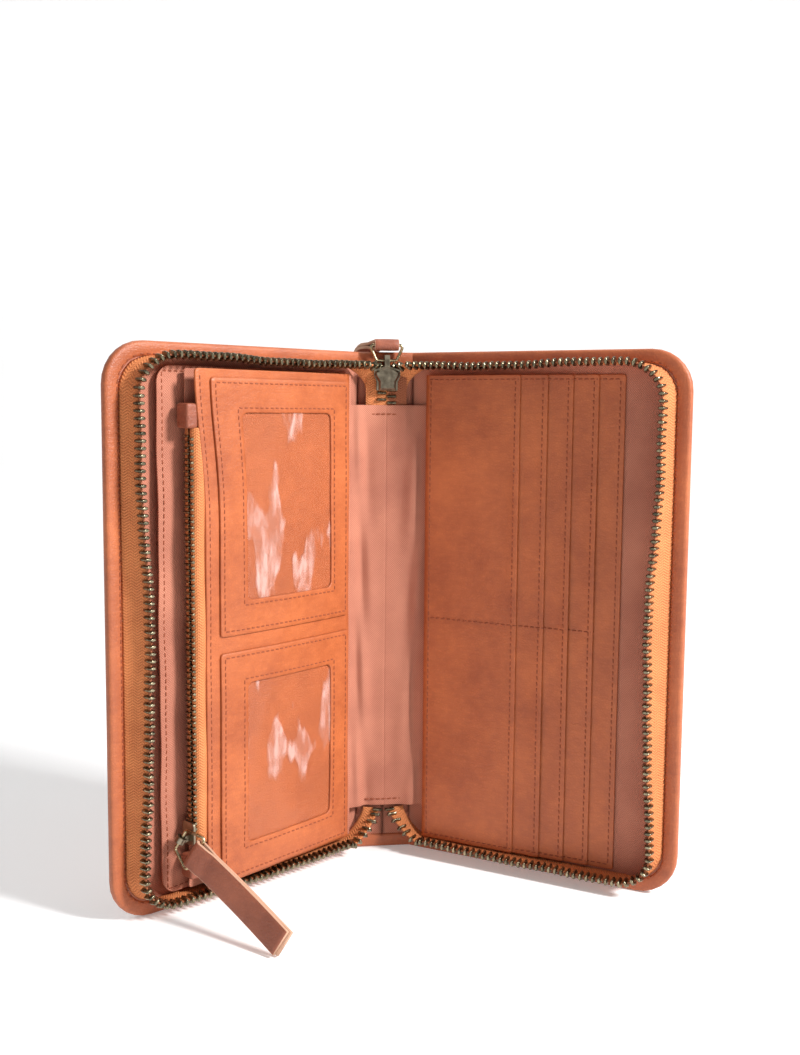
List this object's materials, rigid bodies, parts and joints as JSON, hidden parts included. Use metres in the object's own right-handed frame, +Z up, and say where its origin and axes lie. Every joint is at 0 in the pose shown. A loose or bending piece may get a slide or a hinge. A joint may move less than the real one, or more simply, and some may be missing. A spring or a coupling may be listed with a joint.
{
  "type": "zip around wallet",
  "caption": "Zip around travel wallet standing open: two rigid covers on a spine, card panel, coin page with clear ID pockets, zip with pull strap.",
  "frame": {"origin": "on the ground at the middle of the spine's foot, on the line of the two cover hinges", "axes": "+Z up along the spine, -Y out of the open mouth towards the viewer, +X towards the front cover with the card panel"},
  "size_m": [0.204, 0.1044, 0.2049],
  "materials": {
    "cover_leather": "tan, fine grain, satin",
    "page_leather": "tan, smooth grain, satin",
    "strap_leather": "tan, pale raw edges",
    "stiffener_board": "fibre board, hidden",
    "lining_fabric": "dusty rose brown twill",
    "zip_tape": "orange tan herringbone weave",
    "zip_teeth": "antique, bright high spots",
    "zip_brass": "dark antique, satin",
    "clear_film": "clear, glossy"
  },
  "bodies": {
    "spine": {"spine_leather": "cover_leather", "spine_board": "stiffener_board", "spine_lining": "lining_fabric", "zip_tail_tape": "zip_tape", "zip_tail_teeth": "zip_teeth"},
    "back_cover": {"back_cover_leather": "cover_leather", "back_cover_board": "stiffener_board", "back_lining": "lining_fabric", "back_hinge_fold": "cover_leather", "back_zip_tape": "zip_tape", "back_zip_teeth": "zip_teeth", "back_zip_bend_top": "zip_tape", "back_zip_bend_bottom": "zip_tape"},
    "front_cover": {"front_cover_leather": "cover_leather", "front_cover_board": "stiffener_board", "front_lining": "lining_fabric", "front_hinge_fold": "cover_leather", "front_zip_tape": "zip_tape", "front_zip_teeth": "zip_teeth", "front_zip_bend_top": "zip_tape", "front_zip_bend_bottom": "zip_tape", "card_panel_base": "page_leather", "card_pocket_1": "page_leather", "card_pocket_2": "page_leather", "card_pocket_3": "page_leather", "card_pocket_4": "page_leather", "card_pocket_bags": "lining_fabric"},
    "divider": {"divider_page": "lining_fabric", "outer_gusset": "lining_fabric"},
    "coin_page": {"coin_back_wall": "lining_fabric", "page_binding": "lining_fabric", "id_panel": "page_leather", "id_pocket_upper": "page_leather", "id_pocket_lower": "page_leather", "id_window_upper": "clear_film", "id_window_lower": "clear_film", "coin_end_gussets": "lining_fabric", "coin_zip_tape_back": "zip_tape", "coin_zip_tape_front": "zip_tape", "coin_zip_teeth_back": "zip_teeth", "coin_zip_teeth_front": "zip_teeth", "coin_zip_tabs": "strap_leather", "inner_gusset": "lining_fabric"},
    "coin_slider": {"coin_slider": "zip_brass"},
    "coin_ring": {"coin_pull_ring": "zip_brass"},
    "coin_strap": {"coin_pull_strap": "strap_leather"},
    "main_slider": {"main_slider": "zip_brass"},
    "main_ring": {"main_pull_ring": "zip_brass"},
    "main_strap": {"main_pull_strap": "strap_leather"}
  },
  "joints": [
    {"name": "back_cover_hinge", "type": "hinge", "parent": "spine", "child": "back_cover", "pos_m": [-0.011, 0, 0], "axis": [0, 0, 1], "range_deg": [-35.3, 54.7], "deforming": ["back_hinge_fold", "back_zip_bend_top", "back_zip_bend_bottom"]},
    {"name": "front_cover_hinge", "type": "hinge", "parent": "spine", "child": "front_cover", "pos_m": [0.011, 0, 0], "axis": [0, 0, -1], "range_deg": [-35.3, 54.7], "deforming": ["front_hinge_fold", "front_zip_bend_top", "front_zip_bend_bottom"]},
    {"name": "coin_page_hinge", "type": "hinge", "parent": "back_cover", "child": "coin_page", "pos_m": [-0.01567, -0.00551, 0], "axis": [0, 0, -1], "range_deg": [-14, 2], "stiffness_Nm_per_rad": 0.01, "deforming": ["inner_gusset"]},
    {"name": "divider_hinge", "type": "hinge", "parent": "back_cover", "child": "divider", "pos_m": [-0.01625, -0.0047, 0], "axis": [0, 0, -1], "range_deg": [-7, 1], "deforming": ["outer_gusset"]},
    {"name": "coin_slider_slide", "type": "slide", "parent": "coin_page", "child": "coin_slider", "axis": [0, 0, 1], "range_m": [0, 0.136], "deforming": ["coin_zip_tape_back", "coin_zip_tape_front", "coin_zip_teeth_back", "coin_zip_teeth_front"]},
    {"name": "coin_ring_hinge", "type": "hinge", "parent": "coin_slider", "child": "coin_ring", "pos_m": [-0.07774, -0.05874, 0.028], "axis": [0.5012, -0.0818, 0.8615], "range_deg": [-20, 4]},
    {"name": "coin_strap_hinge", "type": "hinge", "parent": "coin_ring", "child": "coin_strap", "pos_m": [-0.0724, -0.06426, 0.02437], "axis": [0.5012, -0.0818, 0.8615], "range_deg": [-20, 70.2]},
    {"name": "main_slider_slide", "type": "slide", "parent": "spine", "child": "main_slider", "axis": [0, 0, 1], "range_m": [0, 0.005]},
    {"name": "main_ring_hinge", "type": "hinge", "parent": "main_slider", "child": "main_ring", "pos_m": [0, -0.0037, 0.1966], "axis": [1, 0, 0], "range_deg": [0, 75]},
    {"name": "main_strap_hinge", "type": "hinge", "parent": "main_ring", "child": "main_strap", "pos_m": [0, -0.0037, 0.2026], "axis": [1, 0, 0], "range_deg": [0, 100]}
  ],
  "couplings": [
    {"joint": "divider_hinge", "follows": "coin_page_hinge", "ratio": 0.5}
  ]
}
